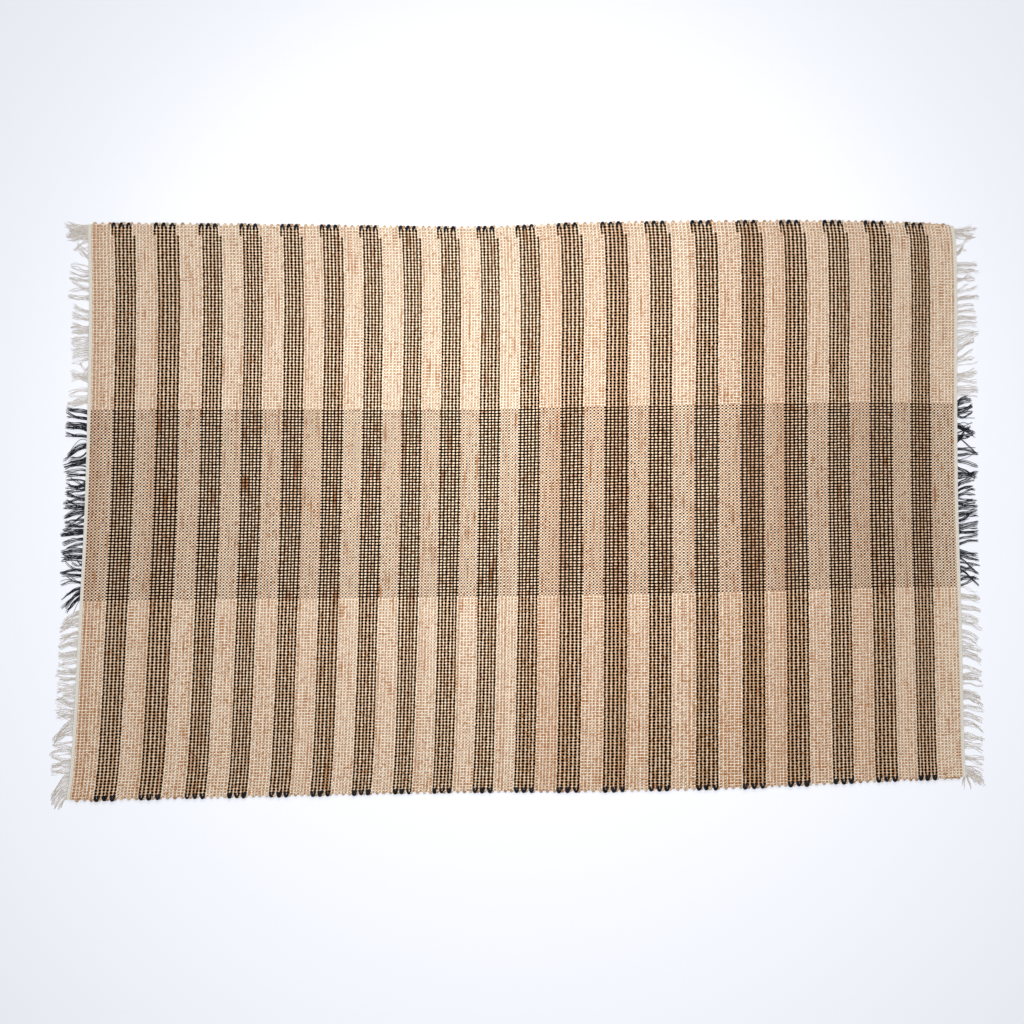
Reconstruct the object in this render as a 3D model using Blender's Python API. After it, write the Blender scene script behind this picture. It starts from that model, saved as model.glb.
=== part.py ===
# A handwoven flat rug laid out on a floor. Its field is jute in plain weave, whose
# weft turns make a row of small lumps along both long edges. A fine cotton heading
# closes each short end, and the warp ends are left beyond it as a fringe: cream,
# black and cream again, as the warp is dyed.
#
# Metres, +Z up. X runs along the rug's length and Y across its width. The origin is
# on the floor, under the middle of the whole rug with its fringe.

import math

import bmesh
import bpy
from mathutils import Vector

MM = 0.001

FIELD_THICK = 5.2 * MM       # two crossing jute yarns, beaten together
HEADING_THICK = 3.4 * MM
HEADING_WIDTH = 7.2 * MM     # along X
BACKING_THICK = 2.6 * MM     # the last picks, where the warp ends come out
BACKING_WIDTH = 2.2 * MM
GAP = 0.3 * MM               # between pieces that touch

WEFTS = 494                  # picks from one heading to the other
WEFTS_IN_TURN = 4            # two shuttles, each turning round every second warp end
TURN_BULGE = 4.5 * MM        # how far a turn stands out of the long edge
TURN_SHAPE = ((0.0, 0.0), (0.28, 0.9), (0.72, 1.0))   # place along a turn, bulge

STRAND_PITCH = 9.0 * MM      # several warp ends lie together in each strand
STRAND_WIDTH = 2.5 * MM
TIP_WIDTH = 1.5 * MM
TIP_THICK = 1.5 * MM
STRAND_STEPS = ((0.12, 0.92), (0.55, 0.45), (1.0, 0.0))  # place along it, thickness left
STRAND_WAVE = 0.7 * MM
REACH_SPREAD = 0.06          # strands of a bunch differ this much in reach
END_STEPS = 24               # straight stretches along a short end
CROSS_CUTS = 19              # parts that a flat face is divided into along X

# The short ends bow and the near left corner flares, in mm from a fixed point near
# the middle. across is 0 at the near long edge and 1 at the far one.
END_ROWS = (
    # across, left x, right x
    (0.00, -927, 945),
    (0.05, -920, 943),
    (0.16, -913, 942),
    (0.30, -907, 941),
    (0.50, -898, 938),
    (0.72, -895, 940),
    (0.86, -895, 943),
    (0.97, -899, 942),
    (1.00, -899, 937),
)

# The long edges, measured to the hollows between the turns.
# along is 0 at the left end and 1 at the right one.
EDGE_ROWS = (
    # along, near y, far y
    (0.00, -605, 617),
    (0.10, -600, 616),
    (0.25, -594, 613),
    (0.45, -586, 609),
    (0.58, -585, 618),
    (0.75, -578, 622),
    (0.90, -564, 621),
    (1.00, -557, 614),
)

# The fringe hangs in bunches, one row for each, in mm from the far corner of its end.
# Each bunch has its roots from one place to another, and its tips likewise.
FRINGE = {
    "fringe_left_far": (
        # roots from, to, tips from, to, reach
        (2, 29, -2, 28, 45),
        (32, 58, 44, 57, 27),
        (62, 92, 76, 94, 35),
        (95, 124, 100, 121, 38),
        (127, 161, 130, 162, 40),
        (165, 204, 172, 203, 34),
        (208, 254, 207, 248, 36),
        (258, 299, 255, 299, 36),
        (304, 338, 313, 341, 36),
        (342, 385, 361, 389, 42),
    ),
    "fringe_left_black": (
        (396, 413, 395, 411, 43),
        (421, 436, 420, 434, 43),
        (444, 457, 444, 453, 43),
        (462, 486, 486, 500, 43),
        (491, 516, 508, 525, 45),
        (521, 542, 532, 545, 41),
        (547, 576, 551, 577, 41),
        (581, 600, 584, 604, 43),
        (606, 626, 610, 628, 41),
        (630, 661, 636, 664, 46),
        (668, 693, 671, 692, 41),
        (697, 721, 698, 722, 43),
        (727, 760, 740, 765, 44),
        (766, 812, 790, 826, 39),
    ),
    "fringe_left_near": (
        (830, 866, 858, 871, 34),
        (869, 898, 879, 897, 38),
        (901, 939, 908, 934, 38),
        (942, 969, 946, 965, 39),
        (973, 1015, 976, 1010, 38),
        (1020, 1054, 1018, 1051, 38),
        (1057, 1093, 1088, 1114, 39),
        (1096, 1122, 1119, 1136, 37),
        (1127, 1165, 1141, 1168, 39),
        (1169, 1197, 1178, 1203, 35),
        (1200, 1223, 1222, 1242, 33),
    ),
    "fringe_right_far": (
        (2, 28, -3, 17, 40),
        (32, 66, 48, 60, 19),
        (78, 96, 79, 94, 41),
        (99, 119, 102, 116, 39),
        (123, 156, 120, 151, 39),
        (160, 183, 167, 184, 37),
        (187, 219, 189, 217, 39),
        (226, 250, 228, 239, 42),
        (253, 296, 266, 293, 37),
        (300, 335, 306, 334, 39),
        (339, 362, 342, 365, 40),
    ),
    "fringe_right_black": (
        (366, 380, 372, 381, 30),
        (385, 412, 397, 412, 34),
        (426, 462, 428, 449, 36),
        (475, 497, 477, 490, 40),
        (503, 514, 509, 515, 40),
        (519, 548, 526, 540, 40),
        (551, 583, 554, 582, 37),
        (586, 606, 588, 605, 39),
        (610, 634, 612, 629, 40),
        (640, 679, 636, 673, 41),
        (696, 717, 704, 725, 42),
        (722, 770, 736, 771, 41),
    ),
    "fringe_right_near": (
        (777, 802, 789, 800, 39),
        (809, 821, 810, 819, 39),
        (825, 853, 847, 861, 40),
        (857, 888, 872, 890, 35),
        (891, 927, 899, 932, 40),
        (936, 950, 944, 952, 40),
        (954, 984, 959, 983, 41),
        (988, 1027, 1014, 1031, 40),
        (1036, 1057, 1052, 1063, 39),
        (1060, 1090, 1083, 1097, 41),
        (1094, 1118, 1111, 1125, 40),
        (1121, 1150, 1135, 1156, 41),
        (1154, 1172, 1168, 1188, 39),
    ),
}

MATERIALS = {
    # colour, roughness
    "jute": ((0.47, 0.33, 0.20, 1.0), 0.9),
    "cotton_cream": ((0.66, 0.59, 0.49, 1.0), 0.9),
    "cotton_black": ((0.012, 0.013, 0.016, 1.0), 0.85),
}


def clear_scene():
    for thing in list(bpy.data.objects):
        bpy.data.objects.remove(thing, do_unlink=True)


def make_material(name):
    colour, roughness = MATERIALS[name]
    material = bpy.data.materials.new(name)
    material.use_nodes = True
    shader = material.node_tree.nodes["Principled BSDF"]
    shader.inputs["Base Color"].default_value = colour
    shader.inputs["Roughness"].default_value = roughness
    shader.inputs["Metallic"].default_value = 0.0
    return material


def smooth_row(rows, column, at):
    """Reads one column of a table at a place between its rows, as a smooth curve."""
    last = len(rows) - 1
    index = 0
    while index < last - 1 and at > rows[index + 1][0]:
        index += 1

    def slope(k):
        low, high = rows[max(k - 1, 0)], rows[min(k + 1, last)]
        return (high[column] - low[column]) / (high[0] - low[0])

    start, end = rows[index], rows[index + 1]
    span = end[0] - start[0]
    f = (at - start[0]) / span
    return (
        start[column] * (1 + 2 * f) * (1 - f) ** 2
        + slope(index) * span * f * (1 - f) ** 2
        + end[column] * (3 - 2 * f) * f ** 2
        + slope(index + 1) * span * (f - 1) * f ** 2
    )


def end_x(side, across):
    """X of the field's left (-1) or right (+1) end."""
    return smooth_row(END_ROWS, 1 if side < 0 else 2, across) * MM


def edge_y(far, along):
    """Y of the near (0) or far (1) long edge."""
    return smooth_row(EDGE_ROWS, 2 if far else 1, along) * MM


def field_point(along, across):
    left, right = end_x(-1, across), end_x(1, across)
    near, far = edge_y(0, along), edge_y(1, along)
    return (left + (right - left) * along, near + (far - near) * across)


def end_point(side, across, out):
    """A point by a short end, out metres beyond the field."""
    x, y = field_point(0.0 if side < 0 else 1.0, across)
    return (x + side * out, y)


def long_edge(far):
    """The lumps of the weft turns along one long edge, from left to right."""
    turns = WEFTS // WEFTS_IN_TURN
    points = []
    for turn in range(turns):
        size = 1.0 + 0.15 * math.sin(turn * 2.4) + 0.1 * math.sin(turn * 0.7)
        for place, bulge in TURN_SHAPE:
            x, y = field_point((turn + place) / turns, 1.0 if far else 0.0)
            out = TURN_BULGE * bulge * size
            points.append((x, y + out if far else y - out))
    points.append(field_point(1.0, 1.0 if far else 0.0))
    return points


def flat_piece(name, outline, thick, material):
    """A flat outline given a thickness, lying on the floor."""
    mesh = bmesh.new()
    mesh.faces.new([mesh.verts.new((x, y, 0.0)) for x, y in outline])
    low_x, high_x = min(x for x, y in outline), max(x for x, y in outline)
    for cut in range(1, CROSS_CUTS):
        everything = mesh.verts[:] + mesh.edges[:] + mesh.faces[:]
        place = (low_x + (high_x - low_x) * cut / CROSS_CUTS, 0.0, 0.0)
        bmesh.ops.bisect_plane(mesh, geom=everything, plane_co=place, plane_no=(1, 0, 0))
    grown = bmesh.ops.extrude_face_region(mesh, geom=mesh.faces[:], use_keep_orig=True)
    raised = [g for g in grown["geom"] if isinstance(g, bmesh.types.BMVert)]
    bmesh.ops.translate(mesh, verts=raised, vec=(0.0, 0.0, thick))
    bmesh.ops.recalc_face_normals(mesh, faces=mesh.faces[:])
    return piece_from(mesh, name, material)


def piece_from(mesh, name, material):
    data = bpy.data.meshes.new(name)
    mesh.to_mesh(data)
    mesh.free()
    data.materials.append(material)
    return bpy.data.objects.new(name, data)


def make_field(material):
    near, far = long_edge(0), long_edge(1)
    steps = [step / END_STEPS for step in range(1, END_STEPS)]
    right = [field_point(1.0, across) for across in steps]
    left = [field_point(0.0, across) for across in reversed(steps)]
    outline = near + right + far[::-1] + left
    return flat_piece("field", outline, FIELD_THICK, material)


def make_heading(name, side, material):
    steps = [step / END_STEPS for step in range(END_STEPS + 1)]
    inner = [end_point(side, across, GAP) for across in steps]
    outer = [end_point(side, across, GAP + HEADING_WIDTH) for across in reversed(steps)]
    return flat_piece(name, inner + outer, HEADING_THICK, material)


def bunch_strands(bunch):
    """Root place, tip place and reach of each strand in one bunch."""
    roots_from, roots_to, tips_from, tips_to, reach = [value * MM for value in bunch]
    count = max(2, round((roots_to - roots_from) / STRAND_PITCH))
    strands = []
    for number in range(count):
        share = (number + 0.5) / count
        root = roots_from + (roots_to - roots_from) * share
        tip = tips_from + (tips_to - tips_from) * share
        spread = math.sin(number * 2.1 + roots_from / STRAND_PITCH)
        strands.append((root, tip, reach * (1 + REACH_SPREAD * spread)))
    return strands


def make_fringe(name, bunches, material):
    """Strands drawn out of the outer face of a narrow strip beside the heading."""
    side = -1 if "left" in name else 1
    corner_y = end_point(side, 1.0, 0.0)[1]
    length = corner_y - end_point(side, 0.0, 0.0)[1]
    inner = 2 * GAP + HEADING_WIDTH
    strands = [strand for bunch in bunches for strand in bunch_strands(bunch)]

    # the strip is cut half way between strands, so each has a face to grow from
    cuts = [max(strands[0][0] - STRAND_PITCH / 2, GAP)]
    for this, following in zip(strands, strands[1:]):
        cuts.append((this[0] + following[0]) / 2)
    cuts.append(min(strands[-1][0] + STRAND_PITCH / 2, length - GAP))

    mesh = bmesh.new()
    rings = []
    for cut in cuts:
        across = 1.0 - cut / length
        near_x, y = end_point(side, across, inner)
        far_x = near_x + side * BACKING_WIDTH
        corners = ((near_x, 0.0), (far_x, 0.0), (far_x, BACKING_THICK), (near_x, BACKING_THICK))
        rings.append([mesh.verts.new((x, y, z)) for x, z in corners])
    outer_faces = []
    for one, two in zip(rings, rings[1:]):
        for k in range(4):
            face = mesh.faces.new((one[k], one[(k + 1) % 4], two[(k + 1) % 4], two[k]))
            if k == 1:
                outer_faces.append(face)
    mesh.faces.new(rings[0])
    mesh.faces.new(rings[-1][::-1])

    for face, (root, tip, reach) in zip(outer_faces, strands):
        root_x = end_point(side, 1.0 - root / length, inner + BACKING_WIDTH)[0]
        wave = math.sin(root / STRAND_PITCH * 1.7) * STRAND_WAVE
        for place, thick_left in STRAND_STEPS:
            grown = bmesh.ops.extrude_face_region(mesh, geom=[face])
            mesh.faces.remove(face)
            face = next(g for g in grown["geom"] if isinstance(g, bmesh.types.BMFace))
            lean = place ** 1.3
            centre = corner_y - (root + (tip - root) * lean) + wave * math.sin(place * math.pi * 1.5)
            half = (STRAND_WIDTH + (TIP_WIDTH - STRAND_WIDTH) * place) / 2
            top = TIP_THICK + (BACKING_THICK - TIP_THICK) * thick_left
            middle_y = face.calc_center_median().y
            for vert in face.verts:
                vert.co.x = root_x + side * reach * place
                vert.co.y = centre + (half if vert.co.y > middle_y else -half)
                vert.co.z = top if vert.co.z > TIP_THICK / 2 else 0.0
    bmesh.ops.recalc_face_normals(mesh, faces=mesh.faces[:])
    return piece_from(mesh, name, material)


def centre_on_floor(pieces, holder):
    """Moves the empty that carries the pieces, so their middle is over the origin."""
    corners = [piece.matrix_world @ Vector(corner) for piece in pieces for corner in piece.bound_box]
    for axis in (0, 1):
        values = [corner[axis] for corner in corners]
        holder.location[axis] = -(min(values) + max(values)) / 2


def main():
    clear_scene()
    collection = bpy.data.collections.new("handwoven_rug")
    bpy.context.scene.collection.children.link(collection)
    materials = {name: make_material(name) for name in MATERIALS}

    pieces = [
        make_field(materials["jute"]),
        make_heading("heading_left", -1, materials["cotton_cream"]),
        make_heading("heading_right", 1, materials["cotton_cream"]),
    ]
    for name, bunches in FRINGE.items():
        colour = "cotton_black" if name.endswith("black") else "cotton_cream"
        pieces.append(make_fringe(name, bunches, materials[colour]))

    holder = bpy.data.objects.new("rug", None)
    collection.objects.link(holder)
    for piece in pieces:
        collection.objects.link(piece)
        piece.parent = holder
    bpy.context.view_layer.update()
    centre_on_floor(pieces, holder)
    bpy.context.view_layer.update()


main()
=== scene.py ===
import math

import bmesh
import bpy
import numpy as np
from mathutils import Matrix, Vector


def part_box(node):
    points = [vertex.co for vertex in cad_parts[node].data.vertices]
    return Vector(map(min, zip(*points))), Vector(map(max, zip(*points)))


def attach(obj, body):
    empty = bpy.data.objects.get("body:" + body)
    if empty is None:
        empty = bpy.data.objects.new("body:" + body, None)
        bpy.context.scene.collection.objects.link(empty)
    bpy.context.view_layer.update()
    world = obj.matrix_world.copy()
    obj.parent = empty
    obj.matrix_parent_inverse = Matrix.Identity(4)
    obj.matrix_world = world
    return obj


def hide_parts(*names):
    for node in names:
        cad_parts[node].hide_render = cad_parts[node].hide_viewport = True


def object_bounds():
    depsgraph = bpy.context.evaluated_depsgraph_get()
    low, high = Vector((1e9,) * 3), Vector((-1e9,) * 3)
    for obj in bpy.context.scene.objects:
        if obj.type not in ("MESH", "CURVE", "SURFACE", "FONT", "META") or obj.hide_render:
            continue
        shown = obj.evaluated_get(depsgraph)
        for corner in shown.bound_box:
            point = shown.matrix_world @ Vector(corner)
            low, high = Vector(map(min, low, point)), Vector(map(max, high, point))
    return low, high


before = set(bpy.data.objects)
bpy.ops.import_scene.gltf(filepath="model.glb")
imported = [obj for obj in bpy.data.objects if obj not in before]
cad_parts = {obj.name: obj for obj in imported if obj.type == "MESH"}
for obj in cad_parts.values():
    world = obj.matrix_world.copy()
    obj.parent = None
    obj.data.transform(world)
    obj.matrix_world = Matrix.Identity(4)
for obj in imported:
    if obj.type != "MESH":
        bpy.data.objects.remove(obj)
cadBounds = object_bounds()
mm = 0.001

# The loom: how the rug was set up and woven, and how its outline came out.
loom = {
    "picks": 494,                    # weft yarns from heading to heading
    "endsInZone": (128, 126, 124),   # warp yarns: near cream, black, far cream
    "firstBlack": 13,                # the pick that opens the first stripe
    "stripeEvery": 24,               # picks from one stripe to the next
    "blackPicks": 6,                 # every second pick of a stripe is black
    "stripes": 20,
    # (across from the near edge, left x, right x) in mm from the loom's middle
    "endRows": ((0.00, -927, 945), (0.05, -920, 943), (0.16, -913, 942),
                (0.30, -907, 941), (0.50, -898, 938), (0.72, -895, 940),
                (0.86, -895, 943), (0.97, -899, 942), (1.00, -899, 937)),
    # (along from the left end, near y, far y)
    "edgeRows": ((0.00, -605, 617), (0.10, -600, 616), (0.25, -594, 613),
                 (0.45, -586, 609), (0.58, -585, 618), (0.75, -578, 622),
                 (0.90, -564, 621), (1.00, -557, 614)),
    "firstStripe": 71.4,             # mm from the left end to its middle
    # mm from each stripe's middle to the next: the beat was never quite even
    "stripePitch": (92.1, 93.6, 86.1, 87.0, 85.1, 84.0, 84.0, 82.2, 83.5, 85.0,
                    90.6, 94.5, 93.8, 98.5, 97.1, 92.3, 91.8, 89.4, 84.2),
    # mm from a stripe's first black pick to its last
    "stripeWidth": (39.9, 42.8, 38.5, 37.0, 38.0, 38.0, 36.5, 36.0, 37.3, 37.0,
                    38.0, 42.3, 43.0, 43.2, 42.5, 42.8, 42.3, 39.7, 42.3, 36.2),
    "length": 1837.0,                # mm, along the middle
}
ends = sum(loom["endsInZone"])

gap = 0.3 * mm
heading = {"width": 7.2 * mm, "thick": 3.4 * mm}


def smoothRows(rows, column, at):
    # one column of a table, read as a smooth curve at many places
    places = np.array([row[0] for row in rows], float)
    values = np.array([row[column] for row in rows], float)
    low = np.maximum(np.arange(len(rows)) - 1, 0)
    high = np.minimum(np.arange(len(rows)) + 1, len(rows) - 1)
    slopes = (values[high] - values[low]) / (places[high] - places[low])
    k = np.clip(np.searchsorted(places, at) - 1, 0, len(rows) - 2)
    span = places[k + 1] - places[k]
    f = (at - places[k]) / span
    return (values[k] * (1 + 2 * f) * (1 - f) ** 2 + slopes[k] * span * f * (1 - f) ** 2
            + values[k + 1] * (3 - 2 * f) * f ** 2 + slopes[k + 1] * span * (f - 1) * f ** 2)


def pickPlaces():
    # where along the rug each pick lies, 0 at the left end and 1 at the right one
    first = loom["firstBlack"]
    inside = 2 * (loom["blackPicks"] - 1)
    knots, places = [-0.5], [0.0]
    middle = loom["firstStripe"]
    for stripe in range(loom["stripes"]):
        if stripe:
            middle += loom["stripePitch"][stripe - 1]
        half = loom["stripeWidth"][stripe] / 2
        opening = first + stripe * loom["stripeEvery"]
        knots += [opening, opening + inside]
        places += [middle - half, middle + half]
    knots.append(loom["picks"] - 0.5)
    places.append(loom["length"])
    return np.array(knots), np.array(places) / loom["length"]


pickKnots, pickAlong = pickPlaces()
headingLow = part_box("heading_left")[0]
loomMiddle = (headingLow[0] - (loom["endRows"][0][1] * mm - gap - heading["width"]),
              headingLow[1] - loom["edgeRows"][0][1] * mm)


def clothPoint(u, v):
    # the place on the floor of pick u and warp end v, which may lie between threads
    u, v = np.asarray(u, float), np.asarray(v, float)
    along = np.interp(u, pickKnots, pickAlong)
    across = (v + 0.5) / ends
    left = smoothRows(loom["endRows"], 1, across)
    right = smoothRows(loom["endRows"], 2, across)
    near = smoothRows(loom["edgeRows"], 1, along)
    far = smoothRows(loom["edgeRows"], 2, along)
    wander = 0.55 * np.sin(u * 0.9 + v * 0.047) + 0.45 * np.sin(u * 0.31 - v * 0.021 + 2.0)
    x = left + (right - left) * along + wander * np.minimum(along, 1 - along) ** 0.25
    y = near + (far - near) * across
    return x * mm + loomMiddle[0], y * mm + loomMiddle[1]


def linear(hexColour):
    # sRGB hex to the linear values that shaders take
    parts = [int(hexColour[k:k + 2], 16) / 255 for k in (1, 3, 5)]
    return (*[p / 12.92 if p <= 0.04045 else ((p + 0.055) / 1.055) ** 2.4 for p in parts], 1.0)


def addNode(tree, kind, inputs=None, give=0, **settings):
    # adds a node with its settings, values and links, and gives one of its outputs
    made = tree.nodes.new(kind)
    for name, value in settings.items():
        setattr(made, name, value)
    for socket, value in (inputs or {}).items():
        if isinstance(value, bpy.types.NodeSocket):
            tree.links.new(value, made.inputs[socket])
        else:
            made.inputs[socket].default_value = value
    return made.outputs[give] if give is not None else made


def mathIn(tree):
    # a short way to add the Math nodes of one tree
    def calc(operation, *values, clamp=False):
        return addNode(tree, "ShaderNodeMath", dict(enumerate(values)), operation=operation,
                       use_clamp=clamp)
    return calc


def spread(tree, value, low, high, toLow, toHigh, **settings):
    return addNode(tree, "ShaderNodeMapRange", {0: value, 1: low, 2: high, 3: toLow, 4: toHigh},
                   **settings)


def blend(tree, share, first, second):
    return addNode(tree, "ShaderNodeMix", {"Factor": share, 6: first, 7: second}, give=2,
                   data_type="RGBA")


def newMaterial(name, roughness, specular=0.15):
    material = bpy.data.materials.new(name)
    material.use_nodes = True
    shader = material.node_tree.nodes["Principled BSDF"]
    shader.inputs["Roughness"].default_value = roughness
    shader.inputs["Specular IOR Level"].default_value = specular
    return material, material.node_tree, shader


def surface(tree, shader, colour, height, relief):
    # the shader's colour, and bump that is relief mm deep for a height of 1
    tree.links.new(colour, shader.inputs["Base Color"])
    bump = addNode(tree, "ShaderNodeBump", {"Height": height, "Strength": 1.0,
                                            "Distance": relief * mm})
    tree.links.new(bump, shader.inputs["Normal"])


# Coarse single jute and dyed cotton in plain weave: fat weft beads in rows, small warp
# dots sunk between them, dry and matt, every pick its own shade of straw.
weave = {
    "pale": "#FDF3E4", "straw": "#CCA06B", "rust": "#BE782F", "bark": "#5E3A1C",
    "black": "#030303", "cream": "#F8EFDD", "warpBlack": "#040404",
    "hollow": "#B3916A",   # the warm shade that light takes in the hollows between the yarns
    "paintedBeadHighlight": 0.42,       # painted highlight: how much paler a bead is painted on top than low on its sides
    "yarnRelief": 0.40,    # mm of bump for one step of thread height
    # thread heights: sway over and under, a pick's middle, and how fast the sides fall away
    "sway": 0.9, "pickHigh": 0.55, "curve": -2.2, "tightCurve": -1.6, "endCurve": -3.7,
    # how high the warp ends stand between the picks: every second one is slack
    "looseEnd": (0.62, 0.10), "tightEnd": (-0.80, -0.50),   # (between stripes, in a stripe)
    "endUneven": 0.45,     # how unequal the dots of the warp are
    "blackLift": 0.46, "blackCurve": -1.1,   # the black picks are plumper and rounder
    "slant": 0.22,         # how far the spin tips a bead over
    "paintedFarLight": 0.50,          # painted light: how much paler the cloth is painted at its far edge than at its near one
    # in the dark band the natural beads look paler, and the dots are smaller
    "bandLift": 0.40, "bandDot": (-0.10, -0.72),
    # how far shade changes by pick, along a pick and by bead, and what comes off the sum
    "pickShade": 0.45, "driftShade": 0.60, "beadShade": 0.65, "shadeLevel": 0.84,
    # where orange-brown shows, as (from, to, share): along a pick, in odd picks, in odd beads
    "driftRust": (0.57, 0.74, 0.8), "pickRust": (0.12, 0.0, 0.3), "beadRust": (0.10, 0.0, 0.6),
    "barkStreak": (0.60, 0.78, 0.55),    # where dark bark shows, likewise
    "wobble": 0.75,        # how far the threads stray from an even grid
    "tail": 7.5,           # ends that a stripe's first pick is folded back over, at the far edge
}
# orange-brown jute: (pick from the left, how strong)
rustPicks = ((0, 0.45), (4, 0.35), (8, 0.0), (16, 0.22), (27, 0.05), (38, 0.28), (46, 0.08),
             (66, 0.0), (132, 0.10), (142, 0.0), (262, 0.0), (271, 0.28), (279, 0.40), (284, 0.12),
             (300, 0.18), (308, 0.55), (313, 0.10), (334, 0.22), (340, 0.0), (371, 0.15),
             (377, 0.70), (386, 0.10), (398, 0.60), (403, 0.10), (446, 0.30), (466, 0.10),
             (475, 0.50), (484, 0.05))
# how pale the natural jute is: (share of the length from the left, paleness)
lotShades = ((0.0, 0.60), (0.10, 0.60), (0.22, 0.67), (0.36, 0.67), (0.47, 0.70), (0.51, 0.68),
             (0.53, 0.42), (0.60, 0.50), (0.69, 0.51), (0.72, 0.35), (0.80, 0.54), (0.90, 0.63),
             (1.0, 0.60))


def rampAlong(tree, pick, stops, whole):
    # a value that changes from pick to pick as a table says; whole is the table's full length
    place = addNode(tree, "ShaderNodeMath", {0: pick, 1: 1.0 / loom["picks"]}, operation="MULTIPLY")
    table = addNode(tree, "ShaderNodeValToRGB", {0: place}, give=None)
    for at, value in stops:
        table.color_ramp.elements.new(at / whole).color = (value, value, value, 1.0)
    table.color_ramp.elements.remove(table.color_ramp.elements[0])
    table.color_ramp.elements.remove(table.color_ramp.elements[-1])
    return table.outputs[0]


def patches(tree, value, limits):
    # nothing at the first limit, rising to the full share at the second
    low, high, share = limits
    return spread(tree, value, low, high, 0.0, share)


def juteColour(tree, pick, end, v, high, blackEnd):
    # natural jute: one shade for each pick, drifting along it, with odd beads
    calc = mathIn(tree)
    pickSeed = addNode(tree, "ShaderNodeCombineXYZ", {0: pick, 1: 7.0})
    pickTone = addNode(tree, "ShaderNodeTexWhiteNoise", {"Vector": pickSeed}, give="Value",
                       noise_dimensions="2D")
    yarnSeed = addNode(tree, "ShaderNodeCombineXYZ", {0: calc("MULTIPLY", pick, 0.73),
                                                      1: calc("MULTIPLY", v, 0.045), 2: 3.4})
    drift = addNode(tree, "ShaderNodeTexNoise", {"Vector": yarnSeed, "Scale": 1.0, "Detail": 2.0},
                    give=0)
    beadSeed = addNode(tree, "ShaderNodeCombineXYZ", {0: pick, 1: end, 2: 0.0})
    bead = addNode(tree, "ShaderNodeTexWhiteNoise", {"Vector": beadSeed}, give="Value",
                   noise_dimensions="3D")
    pale = calc("MULTIPLY_ADD", pickTone, weave["pickShade"], rampAlong(tree, pick, lotShades, 1.0))
    pale = calc("MULTIPLY_ADD", drift, weave["driftShade"], pale)
    pale = calc("MULTIPLY_ADD", bead, weave["beadShade"], pale)
    # painted light: paler towards the far edge, as if lit more strongly from that side
    pale = calc("MULTIPLY_ADD", calc("DIVIDE", v, float(ends)), weave["paintedFarLight"], pale)
    pale = calc("MULTIPLY_ADD", blackEnd, weave["bandLift"], pale)
    top = weave["paintedBeadHighlight"]
    # painted highlight: the higher a bead stands, the paler it is painted
    pale = calc("ADD", pale, spread(tree, high, 0.5, 1.4, -0.5 * top, top))
    pale = calc("SUBTRACT", pale, weave["shadeLevel"], clamp=True)
    jute = blend(tree, pale, linear(weave["straw"]), linear(weave["pale"]))
    chart = calc("MULTIPLY", rampAlong(tree, pick, rustPicks, loom["picks"]),
                 spread(tree, bead, 0.0, 1.0, 0.45, 1.0))
    rust = calc("MAXIMUM", patches(tree, drift, weave["driftRust"]),
                patches(tree, pickTone, weave["pickRust"]))
    rust = calc("MAXIMUM", calc("MAXIMUM", rust, chart), patches(tree, bead, weave["beadRust"]))
    return blend(tree, rust, jute, linear(weave["rust"]))


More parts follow.
